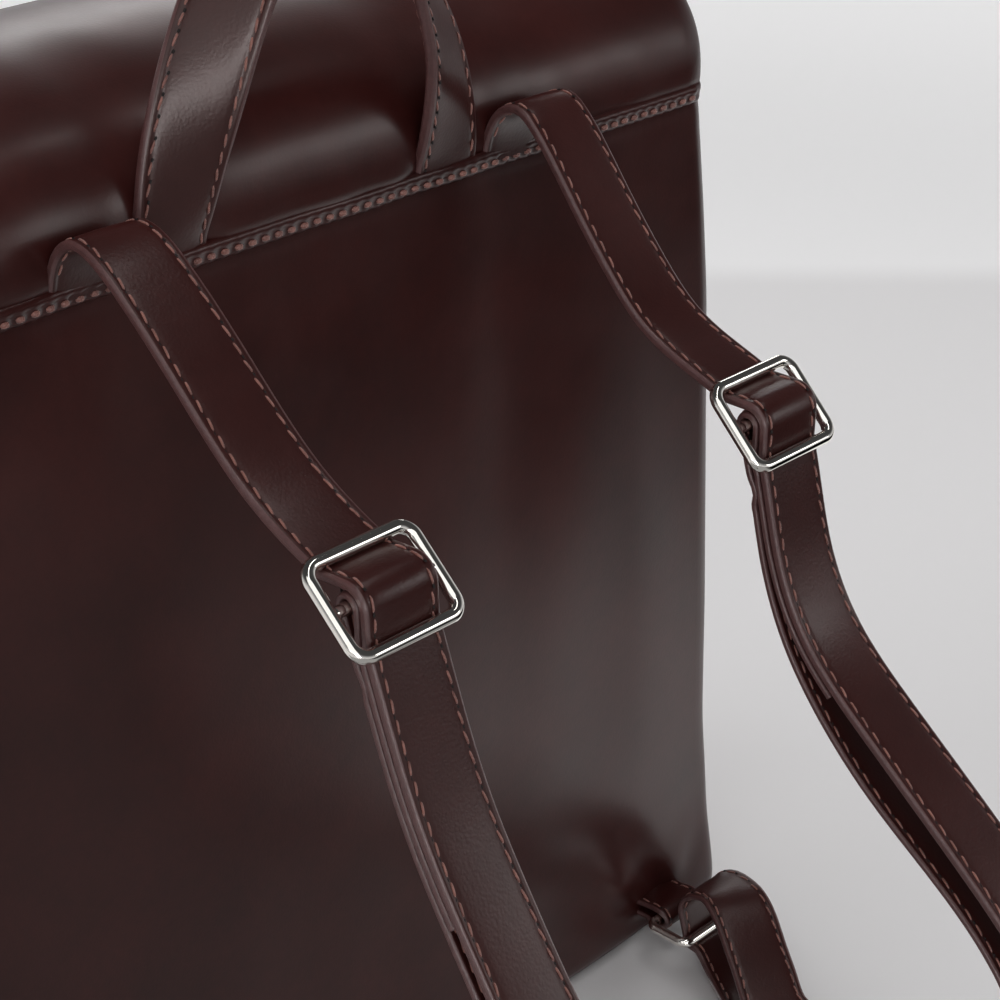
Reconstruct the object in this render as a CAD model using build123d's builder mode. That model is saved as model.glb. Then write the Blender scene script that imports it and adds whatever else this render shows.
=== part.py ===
from build123d import *
from math import acos, asin, cos, degrees, pi, radians, sin
import os

# Leather flap backpack, in millimetres, standing on the floor with +Z up.
# The origin is at the centre of the base. The flap closes on the front, -Y.
# The back panel and both shoulder straps face +Y, and the wearer's right is +X.

# Bag body
BACK_Y = 56.0
FRONT_Y = -56.0
SEAM_Z = 283.0
MOUTH_Z = 282.0
EAR_Z = 305.0
HIDE = 2.0
HALF_OUTLINE = [
    (164, 0),
    (170, 5),
    (162, 33),
    (156, 72),
    (154.5, 116),
    (149, 218),
    (145, SEAM_Z),
    (141, EAR_Z + 5),
]
FOAM = 2.9
BOARD = 1.5
LINING = 0.8

# Flap
FLAP_HALF_X = 142.0
FLAP_BACK_Y = 57.4
FLAP_FRONT_Y = -63.5
FLAP_RISE = 39.0
FLAP_FOOT_Z = SEAM_Z + 1.0
FLAP_EDGE_Z = 112.0
FLAP_CORNER_R = 24.0
FLAP_HINGE_Y = 44.0
FLAP_PAD = 2.0
FLAP_MID_Y = (FLAP_BACK_Y + FLAP_FRONT_Y) / 2
FLAP_REACH = (FLAP_BACK_Y - FLAP_FRONT_Y) / 2

# Magnetic snaps
SNAP_X = 78.0
SNAP_Z = 150.0

# Shoulder straps, their sliders and rings
STRAP_X = 66.0
STRAP_W = 20.0
STRAP_T = 2.4
ROOT_Y = 61.6
ROOT_Z = SEAM_Z + 1.5
ARCH_R = 8.0
SLIDER_OUT_W = 31.5
SLIDER_OUT_H = 24.6
WIRE_R = 1.6
BAR_R = 1.4
EYE_T = 1.8
FIT = 0.15
RING_X = 138.0
RING_IN_Y = 62.0
RING_OUT_Y = 77.0
RING_Z = 11.0
RING_HALF_W = 12.8

# Top handle
HANDLE_X = 42.5
HANDLE_Y = 61.2
HANDLE_TOP_Z = 358.5
HANDLE_W = 20.0
HANDLE_T = 3.0

os.makedirs("parts", exist_ok=True)


def save(shape, name):
    shape.label = name
    export_step(shape, f"parts/{name}.step")


def outline(inset=0.0):
    """The bag's outline from behind, taken in by an even amount all round."""
    mirrored = [(-x, z) for x, z in reversed(HALF_OUTLINE)]
    with BuildSketch(Plane.XZ) as sketch:
        with BuildLine():
            Polyline(*HALF_OUTLINE, *mirrored, close=True)
        make_face()
        if inset:
            offset(amount=-inset, kind=Kind.INTERSECTION, mode=Mode.REPLACE)
    return sketch.sketch


def slab(shape, y_from, y_to):
    """A plate of the given XZ shape between two Y positions."""
    with BuildPart(mode=Mode.PRIVATE) as plate:
        with BuildSketch(Plane.XZ.offset(-y_to)):
            add(shape)
        extrude(amount=y_to - y_from)
    return plate.part


def upright_slab(inset, y_from, y_to, z_from, z_to):
    """A plate of the taken-in outline, trimmed top and bottom."""
    with BuildPart() as plate:
        add(slab(outline(inset), y_from, y_to))
        with Locations((0, (y_from + y_to) / 2, (z_from + z_to) / 2)):
            Box(400, 400, z_to - z_from, mode=Mode.INTERSECT)
    return plate.part


# Rear and front leather panels
save(upright_slab(0, BACK_Y - HIDE, BACK_Y, 0.2, SEAM_Z), "back_panel")
save(upright_slab(0, FRONT_Y, FRONT_Y + HIDE, 0.2, MOUTH_Z), "front_panel")

# Side gussets, one strip each, between the two panels, with a rounded ear under the flap
GUSSET_Y = BACK_Y - HIDE - 0.1
ear = [(GUSSET_Y * 0.94 * cos(radians(a)), sin(radians(a))) for a in range(0, 181, 12)]
ear_points = [(y, MOUTH_Z + (EAR_Z - MOUTH_Z) * rise) for y, rise in ear]
for side, sign in (("right", 1), ("left", -1)):
    with BuildPart() as gusset:
        add(slab(outline(), FRONT_Y + HIDE + 0.1, GUSSET_Y))
        add(slab(outline(HIDE), FRONT_Y, BACK_Y), mode=Mode.SUBTRACT)
        with BuildSketch(Plane.YZ.offset(80 if sign > 0 else -200)):
            with BuildLine():
                Polyline(
                    (GUSSET_Y, HIDE + 0.4),
                    (GUSSET_Y, MOUTH_Z),
                    *ear_points,
                    (-GUSSET_Y, MOUTH_Z),
                    (-GUSSET_Y, HIDE + 0.4),
                    close=True,
                )
            make_face()
        extrude(amount=120, mode=Mode.INTERSECT)
    save(gusset.part, f"gusset_{side}")

# Base panel, with the stiff board that lies on it
with BuildPart() as base:
    with Locations((0, 0, HIDE / 2)):
        Box(2 * 163, BACK_Y - FRONT_Y - 2 * HIDE - 0.2, HIDE)
save(base.part, "base_panel")
with BuildPart() as base_board:
    with Locations((0, 0, HIDE + 0.1 + BOARD / 2)):
        Box(2 * 158, 100, BOARD)
save(base_board.part, "base_board")

# Back foam and board, between the back panel and the lining
FOAM_OUT_Y = BACK_Y - HIDE - 0.1
BOARD_OUT_Y = FOAM_OUT_Y - FOAM - 0.1
LINING_OUT_Y = BOARD_OUT_Y - BOARD - 0.1
save(upright_slab(HIDE + 0.4, FOAM_OUT_Y - FOAM, FOAM_OUT_Y, 8, 276), "back_foam")
save(upright_slab(HIDE + 2, BOARD_OUT_Y - BOARD, BOARD_OUT_Y, 8, 268), "back_board")

# Lining, one open fabric sack
LINING_IN_Z = HIDE + BOARD + 0.3
with BuildPart() as lining:
    add(upright_slab(HIDE + 0.3, FRONT_Y + 3, LINING_OUT_Y, LINING_IN_Z, MOUTH_Z - 1))
    add(
        upright_slab(
            HIDE + 0.3 + LINING,
            FRONT_Y + 3 + LINING,
            LINING_OUT_Y - LINING,
            LINING_IN_Z + LINING,
            MOUTH_Z + 5,
        ),
        mode=Mode.SUBTRACT,
    )
save(lining.part, "lining")

# Welt: the turned edge of the flap leather, sewn down along the top of the back panel
with BuildPart() as welt:
    with BuildSketch(Plane.YZ.offset(-144.5)):
        with Locations((BACK_Y + 0.9, SEAM_Z - 2.2)):
            RectangleRounded(1.6, 3.8, 0.7)
    extrude(amount=289)
save(welt.part, "seam_welt")


def dome(out, angle):
    """A point of the flap's domed top, set in from the outside; 0 degrees is at the seam."""
    reach = FLAP_REACH - out
    rise = FLAP_RISE - out
    return (FLAP_MID_Y + reach * cos(radians(angle)), FLAP_FOOT_Z + rise * sin(radians(angle)))


def flap_layer(out, thick, half_x, start, stop, bottom_z=None, corner=0.0):
    """One layer of the flap between two angles of its dome, with a front skirt if asked for."""
    angles = [start + (stop - start) * i / 24 for i in range(25)]
    outside = [dome(out, a) for a in angles]
    inside = [dome(out + thick, a) for a in angles]
    if bottom_z is not None:
        outside.append((FLAP_FRONT_Y + out, bottom_z))
        inside.append((FLAP_FRONT_Y + out + thick, bottom_z))
    with BuildPart() as layer:
        with BuildSketch(Plane.YZ.offset(-half_x)):
            with BuildLine():
                Polyline(*outside, *reversed(inside), close=True)
            make_face()
        extrude(amount=2 * half_x)
        if corner:
            fillet(layer.edges().filter_by(Axis.Y).group_by(Axis.Z)[0], corner)
    return layer.part


# Flap leather: a short fixed fold above the seam, and the flap that opens from it
HINGE_ANGLE = degrees(acos((FLAP_HINGE_Y - FLAP_MID_Y) / FLAP_REACH))
save(flap_layer(0, HIDE, FLAP_HALF_X, 0, HINGE_ANGLE - 0.2), "flap_fold")
save(
    flap_layer(0, HIDE, FLAP_HALF_X, HINGE_ANGLE + 0.2, 180, FLAP_EDGE_Z, FLAP_CORNER_R),
    "flap",
)

# Under it, foam over the top and a lining all the way down
LINING_SET_IN = HIDE + FLAP_PAD + 0.3
save(
    flap_layer(HIDE + 0.15, FLAP_PAD, FLAP_HALF_X - 6, HINGE_ANGLE + 2, 172),
    "flap_foam",
)
save(
    flap_layer(
        LINING_SET_IN,
        LINING,
        FLAP_HALF_X - 3,
        HINGE_ANGLE + 1,
        180,
        FLAP_EDGE_Z + 3,
        FLAP_CORNER_R - 3,
    ),
    "flap_lining",
)

# Magnetic snaps: a cup on the front panel, a stud plate on the flap, a washer behind each
FLAP_SKIN_Y = FLAP_FRONT_Y + HIDE
LINING_SKIN_Y = FLAP_FRONT_Y + LINING_SET_IN + LINING
for side, sign in (("right", 1), ("left", -1)):
    front = Plane((sign * SNAP_X, FRONT_Y - 0.05, SNAP_Z), x_dir=(1, 0, 0), z_dir=(0, -1, 0))
    with BuildPart() as cup:
        with BuildSketch(front):
            Circle(9)
        extrude(amount=1.5)
        with BuildSketch(front.offset(0.4)):
            Circle(5.6)
        extrude(amount=5, mode=Mode.SUBTRACT)
    save(cup.part, f"snap_cup_{side}")

    with BuildPart() as stud:
        plate = Plane((sign * SNAP_X, LINING_SKIN_Y + 0.05, SNAP_Z), x_dir=(1, 0, 0), z_dir=(0, 1, 0))
        with BuildSketch(plate):
            Circle(8)
        extrude(amount=0.7)
        with BuildSketch(plate.offset(0.7)):
            Circle(4)
        extrude(amount=0.9)
    save(stud.part, f"snap_stud_{side}")

    for place, y, thick in (
        ("cup", FRONT_Y + HIDE + 0.05, 0.8),
        ("stud", FLAP_SKIN_Y + 0.05, 0.6),
    ):
        back = Plane((sign * SNAP_X, y, SNAP_Z), x_dir=(1, 0, 0), z_dir=(0, 1, 0))
        with BuildPart() as washer:
            with BuildSketch(back):
                Circle(7)
                Circle(2.5, mode=Mode.SUBTRACT)
            extrude(amount=thick)
        save(washer.part, f"snap_{place}_washer_{side}")


def ribbon(stations, width, thick):
    """A strap as a solid: a rectangle across each (point, direction, across) station."""
    with BuildPart() as body:
        for point, ahead, across in stations:
            with BuildSketch(Plane(origin=point, x_dir=across, z_dir=ahead)):
                Rectangle(width, thick)
        loft(ruled=True)
    return body.part


def save_pair(shape, name):
    """Write the right-hand piece and its mirror image."""
    save(shape, f"{name}_right")
    save(mirror(shape, about=Plane.YZ), f"{name}_left")


BAR_GAP = SLIDER_OUT_H / 2 - WIRE_R
UNDER_R = WIRE_R + FIT + STRAP_T / 2
OVER_R = BAR_R + FIT + EYE_T + FIT + STRAP_T / 2
UNDER_RING_Z = RING_Z - WIRE_R - FIT - STRAP_T / 2
ARRIVE = 20.0
SIDEWAYS = Vector(1, 0, 0)


class SliderFrame:
    """The slider's own directions: run goes down along the strap, out away from the bag."""

    def __init__(self, y, z, tilt):
        self.origin = Vector(STRAP_X, y, z)
        self.run = Vector(0, cos(radians(tilt)), -sin(radians(tilt)))
        self.out = Vector(0, sin(radians(tilt)), cos(radians(tilt)))

    def at(self, run, out):
        return self.origin + self.run * run + self.out * out

    def heading(self, angle):
        return self.run * cos(radians(angle)) + self.out * sin(radians(angle))

    def arc(self, run, radius, start, stop, steps):
        """Stations round a bar at this run; angles say where on the circle, in degrees."""
        turn = 1 if stop > start else -1
        found = []
        for i in range(steps + 1):
            a = start + (stop - start) * i / steps
            point = self.at(run + radius * cos(radians(a)), radius * sin(radians(a)))
            found.append((point, self.heading(a + 90 * turn), SIDEWAYS))
        return found


def curve_stations(points, tangents, steps):
    """Even stations along a smooth curve; the strap turns flat as it nears the floor."""
    curve = Spline(*points, tangents=tangents)
    found = []
    for i in range(1, steps):
        ahead = curve % (i / steps)
        point = curve @ (i / steps)
        flat = min(1.0, max(0.0, (60 - point.Z) / 40))
        level = Vector(-ahead.Y, ahead.X, 0)
        across = SIDEWAYS
        if flat > 0 and level.length > 0.05:
            across = SIDEWAYS * (1 - flat) + level.normalized() * flat
        found.append((point, ahead, across))
    return found


def lifted(station, lift):
    """The same station moved towards the inside of the strap's loop."""
    at, ahead, across = station
    return (at + ahead.cross(across).normalized() * lift, ahead, across)


def strap_set(y, z, tilt, sag, loop, slack):
    """One shoulder strap, its return run and its slider, on the right-hand side."""
    frame = SliderFrame(y, z, tilt)

    # Root and arch, which leave the seam upwards and turn over towards the wearer
    arch_at = Vector(STRAP_X, ROOT_Y + ARCH_R, ROOT_Z + 4.5)
    stations = [(Vector(STRAP_X, ROOT_Y, ROOT_Z), Vector(0, 0, 1), SIDEWAYS)]
    for i in range(9):
        a = radians(180 - 135 * i / 8)
        point = arch_at + Vector(0, cos(a), sin(a)) * ARCH_R
        stations.append((point, Vector(0, sin(a), -cos(a)), SIDEWAYS))

    # Run that sags to the slider, under its top bar, over its middle bar, under its lower bar
    climb = degrees(asin((UNDER_R + OVER_R) / BAR_GAP))
    under_top = frame.arc(-BAR_GAP, UNDER_R, -90 + ARRIVE, -90 + climb, 3)
    run_points = [stations[-1][0], *[Vector(STRAP_X, *p) for p in sag], under_top[0][0]]
    stations += curve_stations(run_points, [stations[-1][1], under_top[0][1]], 14)
    stations += under_top
    stations += frame.arc(0, OVER_R, 90 + climb, 90 - climb, 6)
    stations += frame.arc(BAR_GAP, UNDER_R, -90 - climb, -90, 3)
    exit_at = frame.at(BAR_GAP + 4, -UNDER_R)
    stations.append((exit_at, frame.run, SIDEWAYS))

    # Loop down to the floor and back to the ring, under its rod and over to its top
    under_ring = Vector(RING_X, RING_OUT_Y + 1, UNDER_RING_Z)
    loop_points = [exit_at, *[Vector(STRAP_X + x, yy, zz) for x, yy, zz in loop], under_ring]
    loop_run = curve_stations(loop_points, [frame.run, Vector(0, -1, 0)], 56)
    stations += loop_run
    stations.append((under_ring, Vector(0, -1, 0), SIDEWAYS))
    wrap_r = RING_Z - UNDER_RING_Z
    for i in range(1, 7):
        a = radians(-90 - 30 * i)
        point = Vector(RING_X, RING_OUT_Y + wrap_r * cos(a), RING_Z + wrap_r * sin(a))
        stations.append((point, Vector(0, sin(a), -cos(a)), SIDEWAYS))
    outer = ribbon(stations, STRAP_W, STRAP_T)

    # Return run inside the loop, round the middle bar as an eye, and down again as a tail
    tail_lift = STRAP_T / 2 + FIT + EYE_T / 2
    return_lift = tail_lift + EYE_T + 0.25
    inner = [(Vector(RING_X, RING_OUT_Y + 0.6, RING_Z + wrap_r), Vector(0, 1, 0), SIDEWAYS)]
    for i in range(52, 0, -1):
        along = i / 55
        lift = return_lift + slack * sin(pi * min(1.0, max(0.0, (along - 0.08) / 0.8))) ** 2
        if along > 0.7:
            lift += (2 * wrap_r - return_lift) * (along - 0.7) / 0.3
        at, ahead, across = lifted(loop_run[i], lift)
        inner.append((at, -ahead, across))
    for run, out, angle in (
        (14.7, -7.25, 180),
        (10.6, -7.3, 175),
        (8.2, -6.95, 160),
        (3, -4.28, 153),
    ):
        inner.append((frame.at(run, out), frame.heading(angle), SIDEWAYS))
    inner += frame.arc(0, BAR_R + FIT + EYE_T / 2, -117, -315, 11)
    for run, out, angle in ((6, -2.7, -45), (8.2, -4.65, -30), (11, -UNDER_R - tail_lift, -4)):
        inner.append((frame.at(run, out), frame.heading(angle), SIDEWAYS))
    inner += [lifted(station, tail_lift) for station in loop_run[:8]]
    returning = ribbon(inner, STRAP_W, EYE_T)

    # Slider: a cast frame with its middle bar, one piece
    half_bar = SLIDER_OUT_W / 2 - WIRE_R
    plane = Plane(origin=frame.origin, x_dir=SIDEWAYS, z_dir=frame.out)
    with BuildPart() as slider:
        add(rod_loop(plane, half_bar, BAR_GAP, 3.4, WIRE_R))
        with BuildSketch(Plane(origin=frame.origin - SIDEWAYS * half_bar, z_dir=SIDEWAYS)):
            Circle(BAR_R)
        extrude(amount=2 * half_bar)
    return outer, returning, slider.part


def rod_loop(plane, half_x, half_y, corner, radius):
    """A closed rectangular loop of round rod about the plane's origin."""
    with BuildSketch(plane, mode=Mode.PRIVATE) as shape:
        RectangleRounded(2 * half_x, 2 * half_y, corner)
    path = shape.sketch.faces()[0].outer_wire()
    with BuildPart() as body:
        with BuildSketch(Plane(origin=path @ 0, z_dir=path % 0)):
            Circle(radius)
        sweep(path=path)
    return body.part


# The two straps hang a little differently, so each has its own sag, slider and loop
RIGHT_SAG = [(84, 289), (93, 281), (105, 269.5), (120, 256.5)]
LEFT_SAG = [(80, 286), (88, 276), (98, 263.5), (111, 250.5)]
FLOOR_RUN = [
    (0, 236, 118),
    (0, 248, 90),
    (0, 250, 62),
    (1, 242, 36),
    (6, 225, 17),
    (17, 199, 9),
    (36, 159, 8),
    (57, 112, 8),
    (70, 87, 8),
]
RIGHT_LOOP = [(0, 167, 209), (0, 176, 192), (0, 189, 175), (0, 214, 147), *FLOOR_RUN]
LEFT_LOOP = [(0, 159, 202), (0, 168, 186), (0, 183, 168), (0, 211, 143), *FLOOR_RUN]
RIGHT_SET = strap_set(148.5, 243.0, 42.0, RIGHT_SAG, RIGHT_LOOP, 1.5)
LEFT_SET = strap_set(143.0, 236.5, 45.0, LEFT_SAG, LEFT_LOOP, 8.0)
for name, right, left in zip(("shoulder_strap", "strap_return", "slider"), RIGHT_SET, LEFT_SET):
    save(right, f"{name}_right")
    save(mirror(left, about=Plane.YZ), f"{name}_left")

# Ring at the lower corner, and the leather tab that holds it
ring_mid_y = (RING_IN_Y + RING_OUT_Y) / 2
ring_plane = Plane((RING_X, ring_mid_y, RING_Z))
ring_half_y = (RING_OUT_Y - RING_IN_Y) / 2
save_pair(rod_loop(ring_plane, RING_HALF_W, ring_half_y, 3.0, WIRE_R), "ring")

TAB_W = 18.0
EYE_HALF_Y = 3.5
EYE_HALF_Z = 1.85
TAB_T = 1.7
with BuildPart() as tab:
    with BuildSketch(Plane.YZ.offset(RING_X - TAB_W / 2)):
        with Locations((RING_IN_Y, RING_Z)):
            SlotOverall(2 * (EYE_HALF_Y + TAB_T), 2 * (EYE_HALF_Z + TAB_T))
        with Locations((BACK_Y + 0.15 + 2, RING_Z)):
            Rectangle(4, 2 * TAB_T + 0.4)
        with Locations((RING_IN_Y, RING_Z)):
            SlotOverall(2 * EYE_HALF_Y, 2 * EYE_HALF_Z, mode=Mode.SUBTRACT)
    extrude(amount=TAB_W)
save_pair(tab.part, "ring_tab")

# Top handle: both ends come up out of the seam, and the leather turns over at the top
handle_points = [
    (HANDLE_X, SEAM_Z + 1.5),
    (HANDLE_X - 0.7, 301),
    (HANDLE_X - 5, 318),
    (HANDLE_X - 12.5, 333),
    (18, 350),
    (0, HANDLE_TOP_Z),
]
handle_points += [(-x, z) for x, z in reversed(handle_points[:-1])]
arch = Spline(
    *[Vector(x, HANDLE_Y, z) for x, z in handle_points],
    tangents=[Vector(0, 0, 1), Vector(0, 0, -1)],
)
handle_stations = []
HANDLE_STEPS = 32
for i in range(HANDLE_STEPS + 1):
    u = i / HANDLE_STEPS
    ahead = arch % u
    turn = radians(90) * (1 - abs(2 * u - 1)) ** 1.4
    level = Vector(ahead.Z, 0, -ahead.X)
    across = level * cos(turn) - Vector(0, 1, 0) * sin(turn)
    handle_stations.append((arch @ u, ahead, across))
save(ribbon(handle_stations, HANDLE_W, HANDLE_T), "handle")
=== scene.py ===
"""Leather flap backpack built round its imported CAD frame. Lengths are in millimetres until a mesh is made."""

from math import asin, cos, degrees, pi, radians, sin, sqrt

import bpy
import numpy as np
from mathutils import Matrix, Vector


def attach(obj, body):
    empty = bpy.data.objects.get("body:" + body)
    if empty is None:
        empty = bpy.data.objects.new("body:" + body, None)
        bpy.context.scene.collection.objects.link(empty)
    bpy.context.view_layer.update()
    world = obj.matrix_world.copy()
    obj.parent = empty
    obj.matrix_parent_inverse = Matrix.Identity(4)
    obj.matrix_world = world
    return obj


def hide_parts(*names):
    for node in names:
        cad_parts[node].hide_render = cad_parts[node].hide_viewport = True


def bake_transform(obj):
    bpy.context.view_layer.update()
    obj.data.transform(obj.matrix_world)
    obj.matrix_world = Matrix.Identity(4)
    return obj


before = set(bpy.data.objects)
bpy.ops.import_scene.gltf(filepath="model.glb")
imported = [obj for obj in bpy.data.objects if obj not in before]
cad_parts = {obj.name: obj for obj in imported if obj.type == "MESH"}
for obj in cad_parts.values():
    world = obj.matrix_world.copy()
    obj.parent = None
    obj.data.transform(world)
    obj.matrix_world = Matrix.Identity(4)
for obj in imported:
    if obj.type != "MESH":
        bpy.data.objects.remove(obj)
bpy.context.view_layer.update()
scene = bpy.context.scene

MM = 0.001

# Bag body
BACK_Y = 56.0
SEAM_Z = 283.0
MOUTH_Z = 282.0
EAR_Z = 304.0
OUTLINE_Z = (0, 5, 33, 72, 116, 218, 283, 310)
OUTLINE_X = (168.5, 169.5, 164.5, 159.5, 158, 152.5, 145.2, 141)
CORNER_R = 7.0
BOTTOM_R = 6.0
HIDE = 1.8

# Flap
FLAP_HALF_X = 142.0
FLAP_MID_Y = -3.05
FLAP_REACH = 60.45
FLAP_RISE = 39.0
FLAP_FOOT_Z = 284.0
FLAP_EDGE_Z = 112.0
FLAP_CORNER = 24.0
FLAP_THICK = 5.2
BACK_FULLNESS = 2.45

# Straps, sliders and rings
STRAP_X = 66.0
STRAP_W = 20.0
STRAP_T = 2.4
SLIDER_OUT_H = 24.6
WIRE_R = 1.6
BAR_R = 1.4
EYE_T = 1.8
FIT = 0.15
RING_X = 138.0
RING_IN_Y = 62.0
RING_OUT_Y = 77.0
RING_Z = 11.0

# Handle
HANDLE_X = 42.5
HANDLE_Y = 61.2
HANDLE_TOP_Z = 358.5
HANDLE_W = 20.0
HANDLE_T = 3.0

# Sewing
STITCH_PITCH = 4.4
STITCH_LONG = 3.7
STITCH_THICK = 0.66
STITCH_INSET = 2.1


# ---------------------------------------------------------------- materials
def plug(tree, made, inputs):
    """Links or sets the sockets of a node."""
    for key, value in inputs.items():
        if isinstance(value, bpy.types.NodeSocket):
            tree.links.new(value, made.inputs[key])
        else:
            made.inputs[key].default_value = value


def node(tree, kind, inputs=None, **settings):
    made = tree.nodes.new(kind)
    for key, value in settings.items():
        setattr(made, key, value)
    plug(tree, made, inputs or {})
    return made


def new_material(name):
    """A new material, its node tree, its shader and the place on the object."""
    mat = bpy.data.materials.new(name)
    mat.use_nodes = True
    tree = mat.node_tree
    at = node(tree, "ShaderNodeTexCoord").outputs["Object"]
    return mat, tree, tree.nodes["Principled BSDF"], at


def ramp(tree, factor, stops):
    made = node(tree, "ShaderNodeValToRGB", {"Fac": factor})
    elements = made.color_ramp.elements
    while len(elements) < len(stops):
        elements.new(0.5)
    for element, (at, colour) in zip(elements, stops):
        element.position = at
        element.color = (*colour, 1)
    return made.outputs["Color"]


def noise(tree, at, scale, detail=2.0, rough=0.5):
    found = node(
        tree,
        "ShaderNodeTexNoise",
        {"Vector": at, "Scale": scale, "Detail": detail, "Roughness": rough},
    )
    return found.outputs["Fac"]


def math(tree, operation, *values):
    return node(tree, "ShaderNodeMath", dict(enumerate(values)), operation=operation).outputs[0]


def mix(tree, first, first_share, second, second_share):
    """The weighted sum of two values."""
    shares = [math(tree, "MULTIPLY", first, first_share), math(tree, "MULTIPLY", second, second_share)]
    return math(tree, "ADD", *shares)


def bump(tree, height, strength, distance, under=None):
    inputs = {"Height": height, "Strength": strength, "Distance": distance}
    if under is not None:
        inputs["Normal"] = under
    return node(tree, "ShaderNodeBump", inputs).outputs["Normal"]


def leather(name, dark, light, rough, grain, shine, coat):
    """Smooth polished hide: fine pebbled grain, soft colour clouds, uneven shine."""
    mat, tree, shader, at = new_material(name)
    clouds = noise(tree, at, 26, 4, 0.6)
    fine = noise(tree, at, 420, 3, 0.6)
    colour = ramp(tree, mix(tree, clouds, 0.75, fine, 0.25), [(0.32, dark), (0.68, light)])
    pebble = node(
        tree,
        "ShaderNodeTexVoronoi",
        {"Vector": at, "Scale": 1450.0, "Randomness": 0.95},
        feature="SMOOTH_F1",
    ).outputs["Distance"]
    pores = noise(tree, at, 2600, 2, 0.6)
    creases = noise(tree, at, 190, 5, 0.62)
    pitted = math(tree, "MULTIPLY", pebble, -0.9)
    height = math(tree, "ADD", pitted, mix(tree, pores, 0.35, creases, 0.22))
    uneven = node(
        tree,
        "ShaderNodeMapRange",
        {"Value": noise(tree, at, 60, 3, 0.55), "To Min": rough - 0.05, "To Max": rough + 0.06},
    )
    looks = {
        "Base Color": colour,
        "Normal": bump(tree, height, grain, 0.00016),
        "Roughness": uneven.outputs["Result"],
        "Specular IOR Level": shine,
        "Specular Tint": (1.0, 0.95, 0.93, 1.0),
        "Coat Weight": coat,
        "Coat Roughness": 0.16,
    }
    plug(tree, shader, looks)
    return mat


def painted_edge(name):
    """Cut edge of the hide under several coats of edge paint, with fine lines along it."""
    mat, tree, shader, at = new_material(name)
    uv = node(tree, "ShaderNodeUVMap", uv_map="along").outputs["UV"]
    stretched = node(tree, "ShaderNodeMapping", {"Vector": uv, "Scale": (0.05, 3.2, 1)}).outputs["Vector"]
    lines = noise(tree, stretched, 2.0, 4, 0.7)
    spots = noise(tree, at, 700, 3, 0.6)
    both = mix(tree, lines, 0.65, spots, 0.35)
    colour = ramp(tree, both, [(0.3, (0.050, 0.017, 0.017)), (0.7, (0.120, 0.050, 0.048))])
    normal = bump(tree, both, 0.5, 0.0002)
    plug(tree, shader, {"Base Color": colour, "Roughness": 0.38, "Normal": normal})
    plug(tree, shader, {"Coat Weight": 0.25, "Coat Roughness": 0.25})
    return mat


def thread(name):
    """Waxed polyester thread, with the twist of its plies."""
    mat, tree, shader, at = new_material(name)
    shade = noise(tree, at, 350, 2, 0.5)
    colour = ramp(tree, shade, [(0.3, (0.15, 0.050, 0.038)), (0.72, (0.29, 0.112, 0.084))])
    plies = node(
        tree,
        "ShaderNodeTexWave",
        {"Vector": at, "Scale": 900.0, "Distortion": 1.5},
        bands_direction="DIAGONAL",
    ).outputs["Fac"]
    normal = bump(tree, plies, 0.6, 0.0001)
    plug(tree, shader, {"Base Color": colour, "Roughness": 0.55, "Sheen Weight": 0.25, "Normal": normal})
    return mat


def metal(name, colour, rough):
    """Polished plate, with faint clouding and hairline wear."""
    mat, tree, shader, at = new_material(name)
    clouds = noise(tree, at, 240, 3, 0.6)
    low = tuple(c * 0.93 for c in colour)
    drawn = node(tree, "ShaderNodeMapping", {"Vector": at, "Scale": (1, 1, 14)}).outputs["Vector"]
    scratches = noise(tree, drawn, 500, 4, 0.7)
    limits = {"Value": scratches, "To Min": rough * 0.6, "To Max": rough * 1.7}
    looks = {
        "Base Color": ramp(tree, clouds, [(0.3, low), (0.7, colour)]),
        "Metallic": 1.0,
        "Roughness": node(tree, "ShaderNodeMapRange", limits).outputs["Result"],
        "Normal": bump(tree, noise(tree, at, 130, 2, 0.5), 0.15, 0.0002),
    }
    plug(tree, shader, looks)
    return mat


def woven(name, dark, light):
    """Plain-woven lining cloth."""
    mat, tree, shader, at = new_material(name)
    threads = []
    waves = {"Vector": at, "Scale": 620.0, "Distortion": 0.6, "Detail": 1.0}
    for direction in ("X", "Y", "Z"):
        made = node(tree, "ShaderNodeTexWave", waves, bands_direction=direction)
        threads.append(made.outputs["Fac"])
    level = math(tree, "ADD", threads[0], threads[1])
    weave = math(tree, "MULTIPLY", level, math(tree, "ADD", threads[2], 0.4))
    soft = noise(tree, at, 45, 4, 0.6)
    colour = ramp(tree, mix(tree, weave, 0.25, soft, 0.6), [(0.25, dark), (0.85, light)])
    normal = bump(tree, weave, 0.5, 0.0002)
    plug(tree, shader, {"Base Color": colour, "Roughness": 0.8, "Sheen Weight": 0.3, "Normal": normal})
    return mat


def fibreboard(name, dark, light, scale):
    mat, tree, shader, at = new_material(name)
    fibres = noise(tree, at, scale, 6, 0.7)
    colour = ramp(tree, fibres, [(0.3, dark), (0.7, light)])
    normal = bump(tree, fibres, 0.5, 0.0003)
    plug(tree, shader, {"Base Color": colour, "Roughness": 0.85, "Normal": normal})
    return mat


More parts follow.
